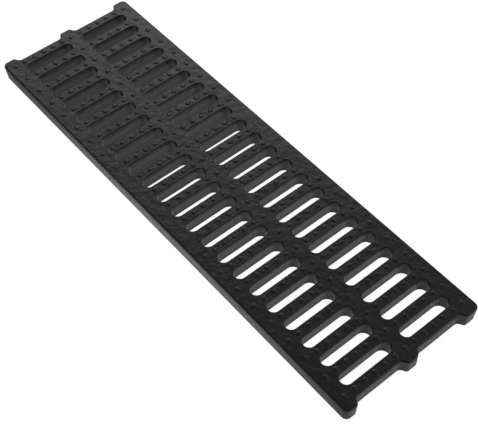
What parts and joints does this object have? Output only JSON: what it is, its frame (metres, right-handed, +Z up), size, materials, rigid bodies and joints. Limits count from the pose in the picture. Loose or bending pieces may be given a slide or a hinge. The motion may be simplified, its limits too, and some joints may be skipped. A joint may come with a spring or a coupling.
{
  "type": "channel drain grate",
  "caption": "Long flat cast grate for a drainage channel, with two columns of round-ended slots, a studded tread and recessed ends.",
  "frame": {"origin": "middle of the underside, which is the bottom centre of the part's box", "axes": "+X along the channel, +Y across it, +Z up out of the tread"},
  "size_m": [0.5, 0.1486, 0.0173],
  "materials": {
    "black_paint": "satin black paint on a sand-cast surface"
  },
  "bodies": {
    "root": {"grate": "black_paint"}
  },
  "joints": []
}
